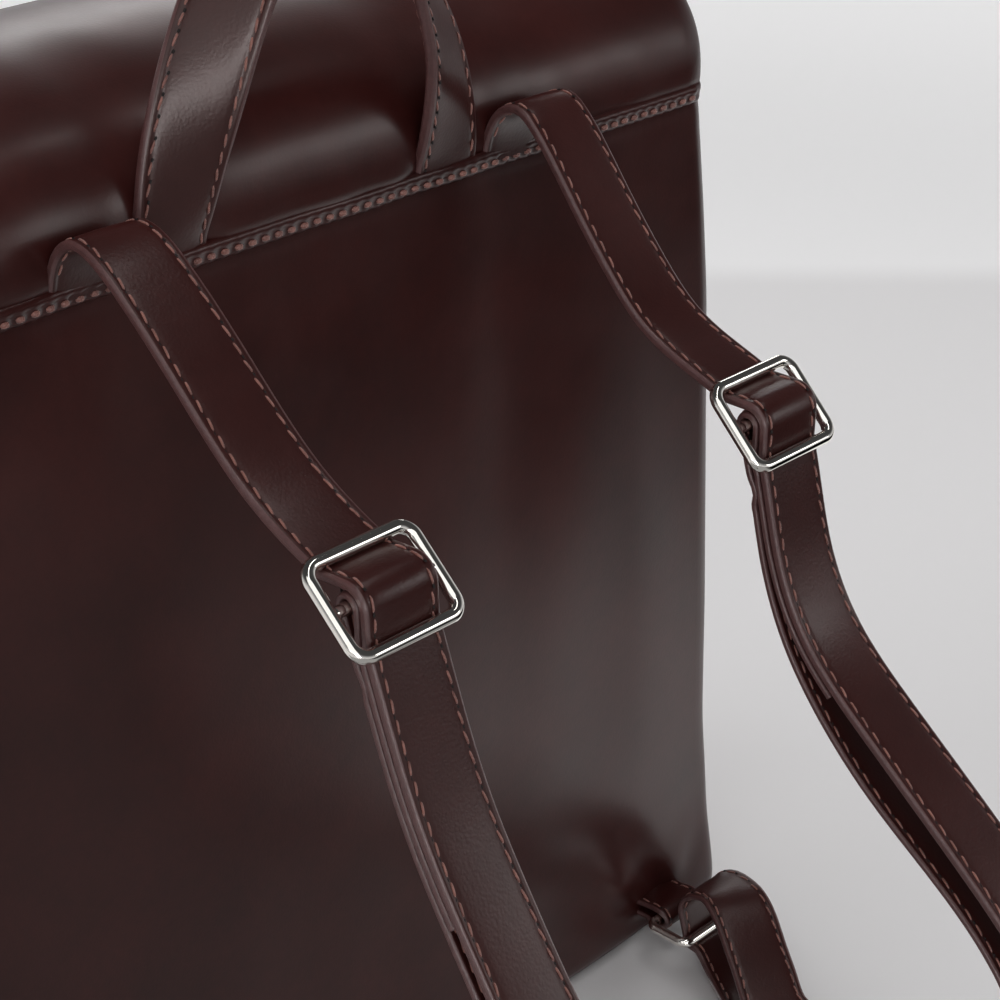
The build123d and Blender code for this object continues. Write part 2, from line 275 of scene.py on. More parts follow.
BODY = leather("body_leather", (0.0250, 0.0048, 0.0043), (0.0470, 0.0098, 0.0084), 0.31, 0.10, 0.38, 0.03)
STRAP = leather("strap_leather", (0.0250, 0.0044, 0.0038), (0.0420, 0.0086, 0.0074), 0.34, 0.26, 0.40, 0.03)
SUEDE = fibreboard("flesh_side", (0.045, 0.018, 0.014), (0.09, 0.038, 0.03), 900)
EDGE = painted_edge("edge_paint")
THREAD = thread("thread")
# Near-black colour for small capsules sunk into the stitch holes: painted shade of the holes' depth
HOLE_SHADE = fibreboard("needle_hole_painted_shade", (0.004, 0.0015, 0.0014), (0.012, 0.005, 0.0045), 1500)
NICKEL = metal("nickel", (0.95, 0.915, 0.86), 0.075)
SNAP = metal("snap_metal", (0.78, 0.75, 0.71), 0.2)
CLOTH = woven("lining_cloth", (0.03, 0.018, 0.016), (0.075, 0.045, 0.04))
FOAM = fibreboard("foam", (0.42, 0.4, 0.37), (0.62, 0.6, 0.55), 1600)
BOARD = fibreboard("board", (0.16, 0.12, 0.08), (0.3, 0.23, 0.16), 500)


# ---------------------------------------------------------------- mesh making
class Builder:
    """Collects vertices and faces in millimetres, then makes one object of them."""

    def __init__(self):
        self.points, self.faces, self.zones, self.uvs = [], [], [], []
        self.count = 0

    def add(self, points, faces, zones, uvs=None):
        points = np.asarray(points, float).reshape(-1, 3)
        self.points.append(points)
        self.faces += [tuple(int(i) + self.count for i in f) for f in faces]
        self.zones += list(zones) if hasattr(zones, "__len__") else [zones] * len(faces)
        self.uvs.append(np.zeros((len(points), 2)) if uvs is None else np.asarray(uvs, float))
        self.count += len(points)

    def make(self, name, materials):
        mesh = bpy.data.meshes.new(name)
        mesh.from_pydata((np.concatenate(self.points) * MM).tolist(), [], self.faces)
        for mat in materials:
            mesh.materials.append(mat)
        mesh.polygons.foreach_set("material_index", self.zones)
        mesh.polygons.foreach_set("use_smooth", [True] * len(self.faces))
        layer = mesh.uv_layers.new(name="along")
        corner = np.zeros(len(mesh.loops), int)
        mesh.loops.foreach_get("vertex_index", corner)
        layer.data.foreach_set("uv", np.concatenate(self.uvs)[corner].astype(np.float32).ravel())
        mesh.validate()
        mesh.update()
        obj = bpy.data.objects.new(name, mesh)
        scene.collection.objects.link(obj)
        return obj


def unit(v):
    v = np.asarray(v, float)
    return v / np.maximum(np.linalg.norm(v, axis=-1, keepdims=True), 1e-9)


class Waves:
    """Smooth seeded undulation over a surface, about -1 to 1."""

    def __init__(self, seed, size, count=9, stretch=(1.0, 1.0)):
        draw = np.random.default_rng(seed)
        angle = draw.uniform(0, 2 * pi, count)
        k = 2 * pi / (size * draw.uniform(0.7, 1.6, count))
        self.kx, self.kz = k * np.cos(angle) / stretch[0], k * np.sin(angle) / stretch[1]
        self.phase = draw.uniform(0, 2 * pi, count)

    def __call__(self, x, z):
        total = 0.0
        for kx, kz, phase in zip(self.kx, self.kz, self.phase):
            total = total + np.sin(kx * x + kz * z + phase)
        return total / sqrt(len(self.phase) * 2)


def grid_normals(grid):
    along = np.gradient(grid, axis=1)
    down = np.gradient(grid, axis=0)
    return unit(np.cross(along, down))


def sheet(build, outer, thick, zones=(0, 1, 2), flip=False):
    """A closed sheet: the grid is its outside, its inside is set in, and its rim is rounded."""
    normal = grid_normals(outer) * (-1 if flip else 1)
    inner = outer - normal * thick
    rows, cols = outer.shape[:2]
    count = rows * cols

    def at(i, j):
        return i * cols + j

    faces, marks = [], []
    for i in range(rows - 1):
        for j in range(cols - 1):
            quad = (at(i, j), at(i, j + 1), at(i + 1, j + 1), at(i + 1, j))
            if flip:
                quad = quad[::-1]
            faces += [quad, tuple(count + k for k in quad[::-1])]
            marks += [zones[0], zones[1]]
    rim = [(0, j) for j in range(cols)] + [(i, cols - 1) for i in range(1, rows)]
    rim += [(rows - 1, j) for j in range(cols - 2, -1, -1)] + [(i, 0) for i in range(rows - 2, 0, -1)]
    middle = []
    for i, j in rim:
        inward = outer[min(max(i, 1), rows - 2), min(max(j, 1), cols - 2)] - outer[i, j]
        out = -unit(inward)
        middle.append((outer[i, j] + inner[i, j]) / 2 + out * thick * 0.35)
    base = 2 * count
    for k, (i, j) in enumerate(rim):
        n = (k + 1) % len(rim)
        i2, j2 = rim[n]
        a, b = at(i, j), at(i2, j2)
        upper = (b, a, base + k, base + n)
        lower = (base + n, base + k, count + a, count + b)
        if flip:
            upper, lower = upper[::-1], lower[::-1]
        faces += [upper, lower]
        marks += [zones[2]] * 2
    build.add(np.concatenate([outer.reshape(-1, 3), inner.reshape(-1, 3), np.array(middle)]), faces, marks)


def smooth_run(points, start_way, end_way, step):
    """Points along a clamped cubic spline through the given ones."""
    p = np.array(points, float)
    h = np.linalg.norm(np.diff(p, axis=0), axis=1)
    slope = np.diff(p, axis=0) / h[:, None]
    n = len(p)
    a, b = np.zeros((n, n)), np.zeros((n, 3))
    a[0, 0], a[0, 1], b[0] = 2 * h[0], h[0], 6 * (slope[0] - unit(start_way))
    a[-1, -1], a[-1, -2], b[-1] = 2 * h[-1], h[-1], 6 * (unit(end_way) - slope[-1])
    for i in range(1, n - 1):
        a[i, i - 1], a[i, i], a[i, i + 1] = h[i - 1], 2 * (h[i - 1] + h[i]), h[i]
        b[i] = 6 * (slope[i] - slope[i - 1])
    m = np.linalg.solve(a, b)
    found = []
    for i in range(n - 1):
        k = max(2, int(round(h[i] / step)))
        s = (np.arange(k) / k * h[i])[:, None]
        r = h[i] - s
        found.append(
            (m[i] * r**3 + m[i + 1] * s**3) / (6 * h[i])
            + (p[i] / h[i] - m[i] * h[i] / 6) * r
            + (p[i + 1] / h[i] - m[i + 1] * h[i] / 6) * s
        )
    found.append(p[-1:])
    return np.concatenate(found)


def run_length(points):
    """Length along a line of points, up to each of them."""
    gaps = np.linalg.norm(np.diff(points, axis=0), axis=1)
    return np.concatenate([[0], np.cumsum(gaps)])


class Run:
    """A strap's centre line with its sideways and outward directions."""

    def __init__(self, points, across):
        self.p = np.asarray(points, float)
        self.ahead = unit(np.gradient(self.p, axis=0))
        across = np.broadcast_to(np.asarray(across, float), self.p.shape)
        across = across - self.ahead * np.sum(across * self.ahead, axis=1, keepdims=True)
        self.across = unit(across)
        self.out = np.cross(self.across, self.ahead)
        self.s = run_length(self.p)

    def part(self, first, last):
        """The stretch between two places along the line, in millimetres."""
        keep = (self.s > first + 0.01) & (self.s < last - 0.01)
        where = np.concatenate([[first], self.s[keep], [last]])
        made = Run.__new__(Run)
        made.s = where
        for key in ("p", "ahead", "across", "out"):
            values = getattr(self, key)
            found = [np.interp(where, self.s, values[:, k]) for k in range(3)]
            setattr(made, key, np.stack(found, axis=1))
        return made

    def at(self, s):
        lines = (self.p, self.ahead, self.across, self.out)
        return [np.array([np.interp(s, self.s, v[:, k]) for k in range(3)]) for v in lines]


def strap_section(width, thick, crown):
    """Ring of (sideways, outward) points: crowned faces, sunk stitch lines, rounded painted edges."""
    hw, ht = width / 2, thick / 2
    line = hw - STITCH_INSET
    top = [
        (-hw + 0.35, ht - 0.22),
        (-hw + 0.75, ht - 0.05),
        (-hw + 1.25, ht),
        (-line - 0.45, ht - 0.04),
        (-line, ht - 0.2),
        (-line + 0.5, ht - 0.02),
        (-line + 1.6, ht + crown * 0.35),
        (-line + 3.6, ht + crown * 0.8),
        (0, ht + crown),
    ]
    top += [(-a, h) for a, h in reversed(top[:-1])]
    side = [(hw + 0.02, ht * 0.55), (hw + 0.1, ht * 0.22), (hw, 0.0)]
    side += [(a, -h) for a, h in reversed(side[:-1])]
    ring = top + side + [(a, -h) for a, h in reversed(top)] + [(-a, h) for a, h in reversed(side)]
    return np.array(ring), len(top), len(side)


def sweep(build, run, width, thick, crown=0.22, squeeze=None, zones=(0, 1), caps=(True, True)):
    """A strap along a run. squeeze(s) scales the width."""
    ring, tops, sides = strap_section(width, thick, crown)
    n, m = len(run.p), len(ring)
    scale = np.ones(n) if squeeze is None else np.array([squeeze(s) for s in run.s])
    points = (
        run.p[:, None, :]
        + run.across[:, None, :] * (ring[None, :, 0:1] * scale[:, None, None])
        + run.out[:, None, :] * ring[None, :, 1:2]
    )
    first, second = slice(tops, tops + sides), slice(2 * tops + sides, m)
    round_it = ring[:, 0].copy()
    round_it[first], round_it[second] = ring[first, 1] * 4, ring[second, 1] * 4
    uvs = np.stack(np.broadcast_arrays(run.s[:, None], round_it[None, :]), axis=2)
    painted = set(range(tops - 2, tops + sides + 1)) | set(range(2 * tops + sides - 2, m)) | {0}
    faces, marks = [], []
    for i in range(n - 1):
        for j in range(m):
            k = (j + 1) % m
            faces.append((i * m + j, (i + 1) * m + j, (i + 1) * m + k, i * m + k))
            marks.append(zones[1] if j in painted else zones[0])
    build.add(points.reshape(-1, 3), faces, marks, uvs.reshape(-1, 2))
    for wanted, i, order in ((caps[0], 0, 1), (caps[1], n - 1, -1)):
        if wanted:
            centre = points[i].mean(axis=0)
            cap = np.concatenate([points[i], [centre]])
            build.add(cap, [(j, (j + 1) % m, m)[::order] for j in range(m)], zones[1])


CAPSULE_RINGS = 7
CAPSULE_SIDES = 6


def stitch(build, centre, along, across, out, long, thick, zone, dip=0.55):
    """One stitch: a short thread that rises out of one hole and sinks into the next."""
    points = []
    for i in range(CAPSULE_RINGS):
        t = -1 + 2 * i / (CAPSULE_RINGS - 1)
        radius = thick / 2 * sqrt(max(0.04, 1 - abs(t) ** 3.5))
        middle = centre + along * (t * long / 2) - out * (dip * t**4)
        for k in range(CAPSULE_SIDES):
            a = 2 * pi * k / CAPSULE_SIDES
            points.append(middle + across * (radius * cos(a)) + out * (radius * 0.85 * sin(a)))
    faces = []
    for i in range(CAPSULE_RINGS - 1):
        for k in range(CAPSULE_SIDES):
            n = (k + 1) % CAPSULE_SIDES
            a, b = i * CAPSULE_SIDES, (i + 1) * CAPSULE_SIDES
            faces.append((a + k, a + n, b + n, b + k))
    last = (CAPSULE_RINGS - 1) * CAPSULE_SIDES
    faces.append(tuple(range(CAPSULE_SIDES))[::-1])
    faces.append(tuple(last + k for k in range(CAPSULE_SIDES)))
    build.add(points, faces, zone)


def sew_strap(build, run, width, thick, zone, first=3.0, last=3.0, faces=(1, -1)):
    """Stitch rows along both edges of a strap, seen on both faces, with near-black capsules sunk in the needle
    holes as painted shade.
    """
    draw = np.random.default_rng(int(run.s[-1] * 7))
    stops = np.arange(run.s[0] + first, run.s[-1] - last, STITCH_PITCH)
    for face in faces:
        for edge in (-1, 1):
            for s in stops:
                p, ahead, across, out = run.at(s)
                slant = radians(7 + draw.uniform(-2.5, 2.5)) * edge * face
                way = unit(ahead * cos(slant) + across * sin(slant))
                spot = p + across * edge * (width / 2 - STITCH_INSET) + out * face * (thick / 2 - 0.02)
                side_way = unit(np.cross(way, out))
                stitch(build, spot, way, side_way, out * face, STITCH_LONG, STITCH_THICK, zone, 0.42)
                # A near-black capsule sunk between two stitches: painted shade in the needle hole
                hole = spot + way * (STITCH_PITCH / 2) + out * face * -0.24
                stitch(build, hole, way, side_way, out * face, 0.95, 0.62, zone + 1, 0.0)


# ---------------------------------------------------------------- bag body
TABLE_Z = np.arange(-20.0, 340.0, 1.0)
raw_x = np.interp(TABLE_Z, OUTLINE_Z, OUTLINE_X)
window = np.exp(-(np.arange(-12, 13) ** 2) / 50.0)
TABLE_X = np.convolve(np.pad(raw_x, 12, mode="edge"), window / window.sum(), mode="valid")

FLUTES = Waves(3, 46, stretch=(1.0, 4.5))
HOLLOWS = Waves(11, 150)
CREASES = Waves(19, 34, stretch=(1.0, 2.2))


def ease(x):
    x = np.clip(x, 0.0, 1.0)
    return x * x * (3 - 2 * x)


def half_width(z):
    turned = BOTTOM_R - np.sqrt(np.maximum(0.0, BOTTOM_R**2 - np.clip(BOTTOM_R - z, 0, BOTTOM_R) ** 2))
    return np.interp(z, TABLE_Z, TABLE_X) - turned


def valley(x, z, start, end, depth, width):
    """A soft fold from its deep start to nothing at its end."""
    sx, sz = start
    length = sqrt((end[0] - sx) ** 2 + (end[1] - sz) ** 2)
    ux, uz = (end[0] - sx) / length, (end[1] - sz) / length
    along = (x - sx) * ux + (z - sz) * uz
    aside = (x - sx) * -uz + (z - sz) * ux
    fade = ease(1 - along / length) * ease(1 + along / 10)
    return -depth * fade * np.exp(-((aside / (width + 0.11 * np.maximum(along, 0))) ** 2))


WELT_PITCH = 4.0


def back_relief(x, z):
    """How far the back leather stands out from flat."""
    high = np.clip(z / SEAM_Z, 0, 1)
    edge = ease((half_width(z) - np.abs(x)) / 40)
    relief = 1.6 * np.sin(pi * high) * edge - 1.0 * ease((z - 240) / 43)
    relief += edge * (0.55 * HOLLOWS(x, z) + 0.22 * CREASES(x, z))
    relief += edge * 0.42 * FLUTES(x, z) * ease((z - 60) / 160)
    for side in (-1, 1):
        root = np.exp(-(((x - side * STRAP_X) / 13) ** 2)) * np.exp(-np.maximum(0, SEAM_Z - z) / 48)
        relief -= 2.0 * root
        foot = np.exp(-(((x - side * 31) / 9) ** 2)) * np.exp(-np.maximum(0, SEAM_Z - z) / 26)
        relief -= 0.9 * foot
        mirror = x * side
        relief += valley(mirror, z, (140, 13), (104, 58), 3.8, 5.2)
        relief += valley(mirror, z, (131, 10), (74, 44), 3.2, 4.8)
        relief += valley(mirror, z, (150, 12), (166, 58), 0.9, 5.0)
        relief += 1.8 * np.exp(-((mirror - 118) ** 2 + (z - 26) ** 2) / 220)
    pucker = np.exp(-(((SEAM_Z - 4.2 - z) / 1.6) ** 2))
    groove = np.exp(-(((SEAM_Z - 5.0 - z) / 2.2) ** 2))
    return relief + 0.22 * pucker * np.cos(2 * pi * x / WELT_PITCH) - 0.35 * groove


def front_relief(x, z):
    high = np.clip(z / SEAM_Z, 0, 1)
    edge = ease((half_width(z) - np.abs(x)) / 40)
    relief = 1.2 * np.sin(pi * high) + 0.5 * HOLLOWS(z, x) + 0.3 * CREASES(-x, z)
    return edge * relief - 0.6 * ease((z - 250) / 30)


def side_sink(y, z):
    """The gusset folds in between its seams, more towards the top."""
    shape = np.cos(pi * np.clip(y, -47, 47) / 94) ** 1.6
    crease = np.exp(-np.abs(y) / 5) * 1.4
    return (1.2 + 7.0 * ease(z / 300)) * (shape + crease * ease((z - 90) / 160)) * 0.8


def face_panel(side, relief, top_z, rows, cols, inset=0.0, reach=3.0, from_z=0.6):
    """Grid over the back (side 1) or front (side -1), turned round both corners."""
    grid = np.zeros((rows, cols, 3))
    for i, z in enumerate(np.linspace(top_z, from_z, rows)):
        w = half_width(z)
        flat = w - CORNER_R
        length = flat + CORNER_R * pi / 2 + reach
        a = np.linspace(-length, length, cols)
        b = np.abs(a)
        turn = np.clip((b - flat) / CORNER_R, 0, pi / 2)
        past = np.maximum(0, b - flat - CORNER_R * pi / 2)
        x = np.where(b < flat, b, flat + CORNER_R * np.sin(turn)) * np.sign(a)
        y = BACK_Y - CORNER_R + CORNER_R * np.cos(turn) - past
        out = relief(x, np.full_like(x, z)) * np.cos(turn) ** 2 - inset
        under = BOTTOM_R - sqrt(max(0.0, BOTTOM_R**2 - min(BOTTOM_R, max(0.0, BOTTOM_R - z)) ** 2))
        x = x + np.sign(a) * np.sin(turn) * out
        y = y + np.cos(turn) * (out - under)
        grid[i, :, 0], grid[i, :, 1], grid[i, :, 2] = x, side * y, z
    return grid


def shell_piece(name, grid, flip, thick=HIDE, materials=(BODY, SUEDE, EDGE)):
    build = Builder()
    sheet(build, grid, thick, flip=flip)
    return build.make(name, materials)


back = shell_piece("back_leather", face_panel(1, back_relief, SEAM_Z - 0.6, 118, 190), False)
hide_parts("back_panel")
front = shell_piece("front_leather", face_panel(-1, front_relief, MOUTH_Z, 80, 120), True)
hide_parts("front_panel")

for side_name, side in (("right", 1), ("left", -1)):
    rows, cols = 90, 44
    grid = np.zeros((rows, cols, 3))
    ys = np.linspace(-45.5, 45.5, cols)
    for i in range(rows):
        v = 1 - i / (rows - 1)
        top = MOUTH_Z + (EAR_Z - MOUTH_Z) * np.sqrt(np.maximum(0, 1 - (ys / 52) ** 2))
        z = 0.9 + v * (top - 0.9)
        lean = np.maximum(0, z - 270) * 0.10
        grid[i, :, 0] = side * (half_width(z) - 1.1 - side_sink(ys, z) - lean)
        grid[i, :, 1] = ys
        grid[i, :, 2] = z
    gusset = shell_piece("gusset_leather_" + side_name, grid, side < 0)
    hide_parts("gusset_" + side_name)
    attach(gusset, "bag")

base_rows = np.linspace(-50.5, 50.5, 40)
base_cols = np.linspace(-1, 1, 90)
grid = np.zeros((40, 90, 3))
for i, y in enumerate(base_rows):
    grid[i, :, 0] = base_cols * (164.0 - 3 * (abs(y) / 50) ** 6)
    grid[i, :, 1] = y
    grid[i, :, 2] = 0.35 + 0.35 * (0.5 + 0.5 * HOLLOWS(grid[i, :, 0], y))
base = shell_piece("base_leather", grid, True, 1.6)
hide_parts("base_panel")
for piece in (back, front, base):
    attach(piece, "bag")

# ---------------------------------------------------------------- flap
ARC_STEPS = 400


def flap_profile():
    """The flap's centre section, from the crease over the top and down, and its running length."""
    angles = np.linspace(0, pi, ARC_STEPS)
    power = np.where(angles < pi / 2, 2 / BACK_FULLNESS, 1.0)
    reach = np.sign(np.cos(angles)) * np.abs(np.cos(angles)) ** power
    rise = FLAP_FOOT_Z + FLAP_RISE * np.sin(angles) ** power
    dome = np.stack([FLAP_MID_Y + FLAP_REACH * reach, rise], axis=1)
    tucked = [(54.6, 280.6, 0), (56.6, 282.2, 0), (57.4, 284.0, 0)]
    start = smooth_run(tucked, (0.6, 0.5, 0), (0.05, 1, 0), 0.5)[:-1, :2]
    fall = np.linspace(FLAP_FOOT_Z, FLAP_EDGE_Z, 201)[1:]
    down = np.stack([np.full(200, FLAP_MID_Y - FLAP_REACH), fall], axis=1)
    line = np.concatenate([start, dome, down])
    return line, run_length(line)


PROFILE, PROFILE_S = flap_profile()
FLAP_LONG = PROFILE_S[-1]
PUFF = Waves(23, 62)
PUFF_FINE = Waves(29, 24, stretch=(1.0, 1.3))


def on_profile(q):
    """Place down the flap's centre section and its outward direction there."""

    def spot(at):
        return np.interp(at, PROFILE_S, PROFILE[:, 0]), np.interp(at, PROFILE_S, PROFILE[:, 1])

    y, z = spot(q)
    step = 1.2
    (y2, z2), (y1, z1) = spot(q + step), spot(q - step)
    dy, dz = y2 - y1, z2 - z1
    length = np.maximum(np.sqrt(dy * dy + dz * dz), 1e-6)
    return y, z, dz / length, -dy / length


FLAP_DIMPLES = (
    (42.5, 11, 3.3),
    (-42.5, 11, 3.3),
    (66, 10, 1.8),
    (-66, 10, 1.8),
    (94, 14, 0.5),
    (-98, 12, 0.5),
)


def flap_relief(x, q):
    """Puffed leather over foam: pinched along the seam, dimpled where the handle and straps come out."""
    near = np.exp(-q / 26)
    relief = 0.7 * ease(q / 9) * np.exp(-(((q - 12) / 24) ** 2))
    for at, wide, deep in FLAP_DIMPLES:
        relief -= deep * np.exp(-np.abs((x - at) / wide) ** 2.6) * near * ease(q / 4)
    body = ease(q / 30)
    relief += body * (0.15 * PUFF(x, q) + 0.04 * PUFF_FINE(x, q))
    return relief + 0.12 * (1 - body) * PUFF_FINE(x * 1.4, q)


def flap_side(q):
    """Half of the flap's width at a place down its length, with its rounded lower corners."""
    h = np.clip(FLAP_LONG - q, 0, FLAP_CORNER)
    corner = np.sqrt(np.maximum(0, FLAP_CORNER**2 - (FLAP_CORNER - h) ** 2))
    return FLAP_HALF_X - 2.6 * np.exp(-q / 12) - FLAP_CORNER + corner


def flap_rim(x, q):
    """Distance in from the flap's free rim."""
    side = FLAP_HALF_X - np.abs(x)
    low = FLAP_LONG - q
    short_side, short_low = np.maximum(0, FLAP_CORNER - side), np.maximum(0, FLAP_CORNER - low)
    corner = FLAP_CORNER - np.sqrt(short_side**2 + short_low**2)
    corner = np.where((side < FLAP_CORNER) & (low < FLAP_CORNER), corner, 1e3)
    return np.maximum(0, np.minimum(np.minimum(side, low), corner))


ROLL = 8.0


def flap_surface(rows, cols, under, inset=0.0, depth=0.0, start=0.0):
    """Grid of the flap's outside, or of its underside."""
    grid = np.zeros((rows, cols, 3))
    v = np.linspace(0, 1, rows)
    stops = start + (FLAP_LONG - inset - start) * (1 - (1 - v) ** 1.15)
    u = np.sin(np.linspace(-1, 1, cols) * pi / 2 * 0.86) / sin(pi / 2 * 0.86)
    for i, q in enumerate(stops):
        x = u * (flap_side(np.array([min(q + inset * 0.3, FLAP_LONG)]))[0] - inset)
        qq = np.full_like(x, q)
        y, z, ny, nz = on_profile(qq)
        rim = np.clip(flap_rim(x, qq) / ROLL, 0, 1)
        bulge = np.sqrt(np.maximum(0, 1 - (1 - rim) ** 2))
        half = FLAP_THICK / 2
        if under:
            lift = -half - half * np.minimum(1, bulge * 1.15) - depth + 0.3 * PUFF(x + 40, qq) * rim
        else:
            lift = -half + half * bulge + flap_relief(x, qq) * rim
        grid[i, :, 0], grid[i, :, 1], grid[i, :, 2] = x, y + ny * lift, z + nz * lift
    return grid


def closed_pair(build, upper, lower, zones):
    """Two grids with matching rims, sewn into one closed form."""
    rows, cols = upper.shape[:2]
    count = rows * cols
    faces, marks = [], []
    for i in range(rows - 1):
        for j in range(cols - 1):
            a, b = i * cols + j, (i + 1) * cols + j
            quad = (a, a + 1, b + 1, b)
            faces += [quad, tuple(count + k for k in quad[::-1])]
            marks += [zones[0], zones[1]]
    rim = [j for j in range(cols)] + [i * cols + cols - 1 for i in range(1, rows)]
    rim += [(rows - 1) * cols + j for j in range(cols - 2, -1, -1)]
    rim += [i * cols for i in range(rows - 2, 0, -1)]
    for a, b in zip(rim, rim[1:] + rim[:1]):
        faces.append((b, a, count + a, count + b))
        marks.append(zones[2])
    build.add(np.concatenate([upper.reshape(-1, 3), lower.reshape(-1, 3)]), faces, marks)


FLAP_ROWS, FLAP_COLS = 190, 150
build = Builder()
outside = flap_surface(FLAP_ROWS, FLAP_COLS, False)
closed_pair(build, outside, flap_surface(FLAP_ROWS, FLAP_COLS, True), (0, 0, 0))
flap = build.make("flap_leather", (BODY,))
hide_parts("flap_fold", "flap", "flap_foam")
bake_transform(flap)

build = Builder()
lining_grid = flap_surface(130, 90, True, inset=9.0, depth=0.75, start=6.0)
sheet(build, lining_grid, 0.6, zones=(0, 0, 0))
flap_lining = build.make("flap_lining_cloth", (CLOTH,))
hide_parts("flap_lining")
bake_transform(flap_lining)

# ---------------------------------------------------------------- seam welt and its stitches
WELT_HALF = 141.0
build = Builder()
welt_x = np.arange(-WELT_HALF, WELT_HALF + 0.1, WELT_PITCH / 8)
ring = np.array(
    [
        (55.2, 283.6),
        (56.6, 284.0),
        (57.7, 283.7),
        (58.3, 282.9),
        (58.35, 282.0),
        (57.95, 281.2),
        (57.75, 280.4),
        (57.7, 279.6),
        (57.3, 278.8),
        (56.6, 278.2),
        (55.4, 278.2),
        (54.8, 280.5),
        (54.8, 282.4),
    ]
)
points = np.zeros((len(welt_x), len(ring), 3))
ends = np.sqrt(np.clip((WELT_HALF - np.abs(welt_x)) / 4, 0, 1))
for i, x in enumerate(welt_x):
    pinch = 0.5 + 0.5 * cos(2 * pi * x / WELT_PITCH)
    points[i, :, 0] = x
    lower = np.clip((282.4 - ring[:, 1]) / 3.0, 0, 1)
    plump = (1 - 0.2 * lower * (1 - pinch)) * (0.3 + 0.7 * ends[i])
    points[i, :, 1] = 55.0 + (ring[:, 0] - 55.0) * plump
    points[i, :, 1] += back_relief(np.array([x]), np.array([281.0]))[0] * 0.5 + 0.4
    points[i, :, 2] = ring[:, 1] + 0.12 * sin(x / 9.0)
n, m = len(welt_x), len(ring)
faces = []
for i in range(n - 1):
    for j in range(m):
        k = (j + 1) % m
        faces.append((i * m + j, i * m + k, (i + 1) * m + k, (i + 1) * m + j))
faces += [tuple(range(m))[::-1], tuple((n - 1) * m + j for j in range(m))]
build.add(points.reshape(-1, 3), faces, 0)
draw = np.random.default_rng(5)
for x in np.arange(-35, 36) * WELT_PITCH:
    if abs(x) > WELT_HALF - 2:
        continue
    relief = back_relief(np.array([x]), np.array([281.0]))[0] * 0.5
    spot = np.array([x, 58.0 + relief, 280.2 + draw.uniform(-0.1, 0.1)])
    slant = radians(8 + draw.uniform(-3, 3))
    way = np.array([cos(slant), 0, sin(slant)])
    stitch(build, spot, way, np.array([-sin(slant), 0, cos(slant)]), np.array([0, 1.0, 0]), 2.5, 1.75, 1, 0.5)
welt = build.make("seam_welt_leather", (BODY, THREAD))
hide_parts("seam_welt")
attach(welt, "bag")

# ---------------------------------------------------------------- straps
BAR_GAP = SLIDER_OUT_H / 2 - WIRE_R
UNDER_R = WIRE_R + FIT + STRAP_T / 2
OVER_R = BAR_R + FIT + EYE_T + FIT + STRAP_T / 2
UNDER_RING_Z = RING_Z - WIRE_R - FIT - STRAP_T / 2
WRAP_R = RING_Z - UNDER_RING_Z
ROOT_RISE = ((55.6, 280.6), (56.3, 284.5), (58.2, 290.0), (61.8, 294.7), (67.0, 296.6))
RIGHT_SAG = [(74.0, 294.4), (80.5, 290.0), (92.5, 280.0), (105, 268.5), (120, 256.5)]
LEFT_SAG = [(72.5, 293.6), (77.5, 288.2), (87.5, 275.5), (98, 263.0), (111, 251.0)]
FLOOR_RUN = [(0, 249, 88), (0, 250, 62), (1, 242, 36), (6, 225, 16), (17, 199, 5)]
FLOOR_RUN += [(36, 159, 2.4), (57, 112, 2.4), (70, 87, 5)]
RIGHT_LOOP = [(0, 160, 217.5), (0, 168.2, 198.5), (0, 180, 179), (0, 191.5, 162.3)]
RIGHT_LOOP += [(0, 213, 137), (0, 235, 112), *FLOOR_RUN]
LEFT_LOOP = [(0, 155, 202), (0, 163.5, 186), (0, 182.4, 168), (0, 213, 143.5), (0, 238, 118)]
LEFT_LOOP += FLOOR_RUN
RING_HUMP = [(72.6, 16.0), (71.6, 21.5), (74.4, 26.2), (80.5, 28.4), (88, 28.4), (95.5, 25.2)]
RING_HUMP += [(102.5, 20.6), (110, 16.0), (118.5, 11.8), (129, 8.2)]
HUMP_LONG = 66.0
LEAVE = 24.0
CLIMB = degrees(asin((UNDER_R + OVER_R) / BAR_GAP))
ARRIVE = 20.0


class SliderFrame:
    """The slider's directions: run goes down along the strap, out away from the bag."""

    def __init__(self, y, z, tilt):
        self.origin = np.array([STRAP_X, y, z])
        self.run = np.array([0, cos(radians(tilt)), -sin(radians(tilt))])
        self.out = np.array([0, sin(radians(tilt)), cos(radians(tilt))])

    def at(self, run, out):
        return self.origin + self.run * run + self.out * out

    def arc(self, run, radius, start, stop, steps):
        angles = np.radians(np.linspace(start, stop, steps + 1))
        return [self.at(run + radius * cos(a), radius * sin(a)) for a in angles]


def turned(points):
    """Sideways directions: level across X, turning flat as the strap comes down to the floor."""
    ahead = unit(np.gradient(points, axis=0))
    flat = np.clip((60 - points[:, 2]) / 40, 0, 1)[:, None]
    level = np.stack([-ahead[:, 1], ahead[:, 0], np.zeros(len(points))], axis=1)
    straight = np.linalg.norm(level, axis=1, keepdims=True) < 0.05
    flat = np.where(straight, 0, flat)
    return unit(np.array([1.0, 0, 0]) * (1 - flat) + unit(level) * flat)


def mirrored(run):
    """The same run on the left-hand side."""
    flip = np.array([-1.0, 1, 1])
    made = Run.__new__(Run)
    made.p, made.ahead, made.s = run.p * flip, run.ahead * flip, run.s
    made.across = -run.across * flip
    made.out = run.out * flip
    return made


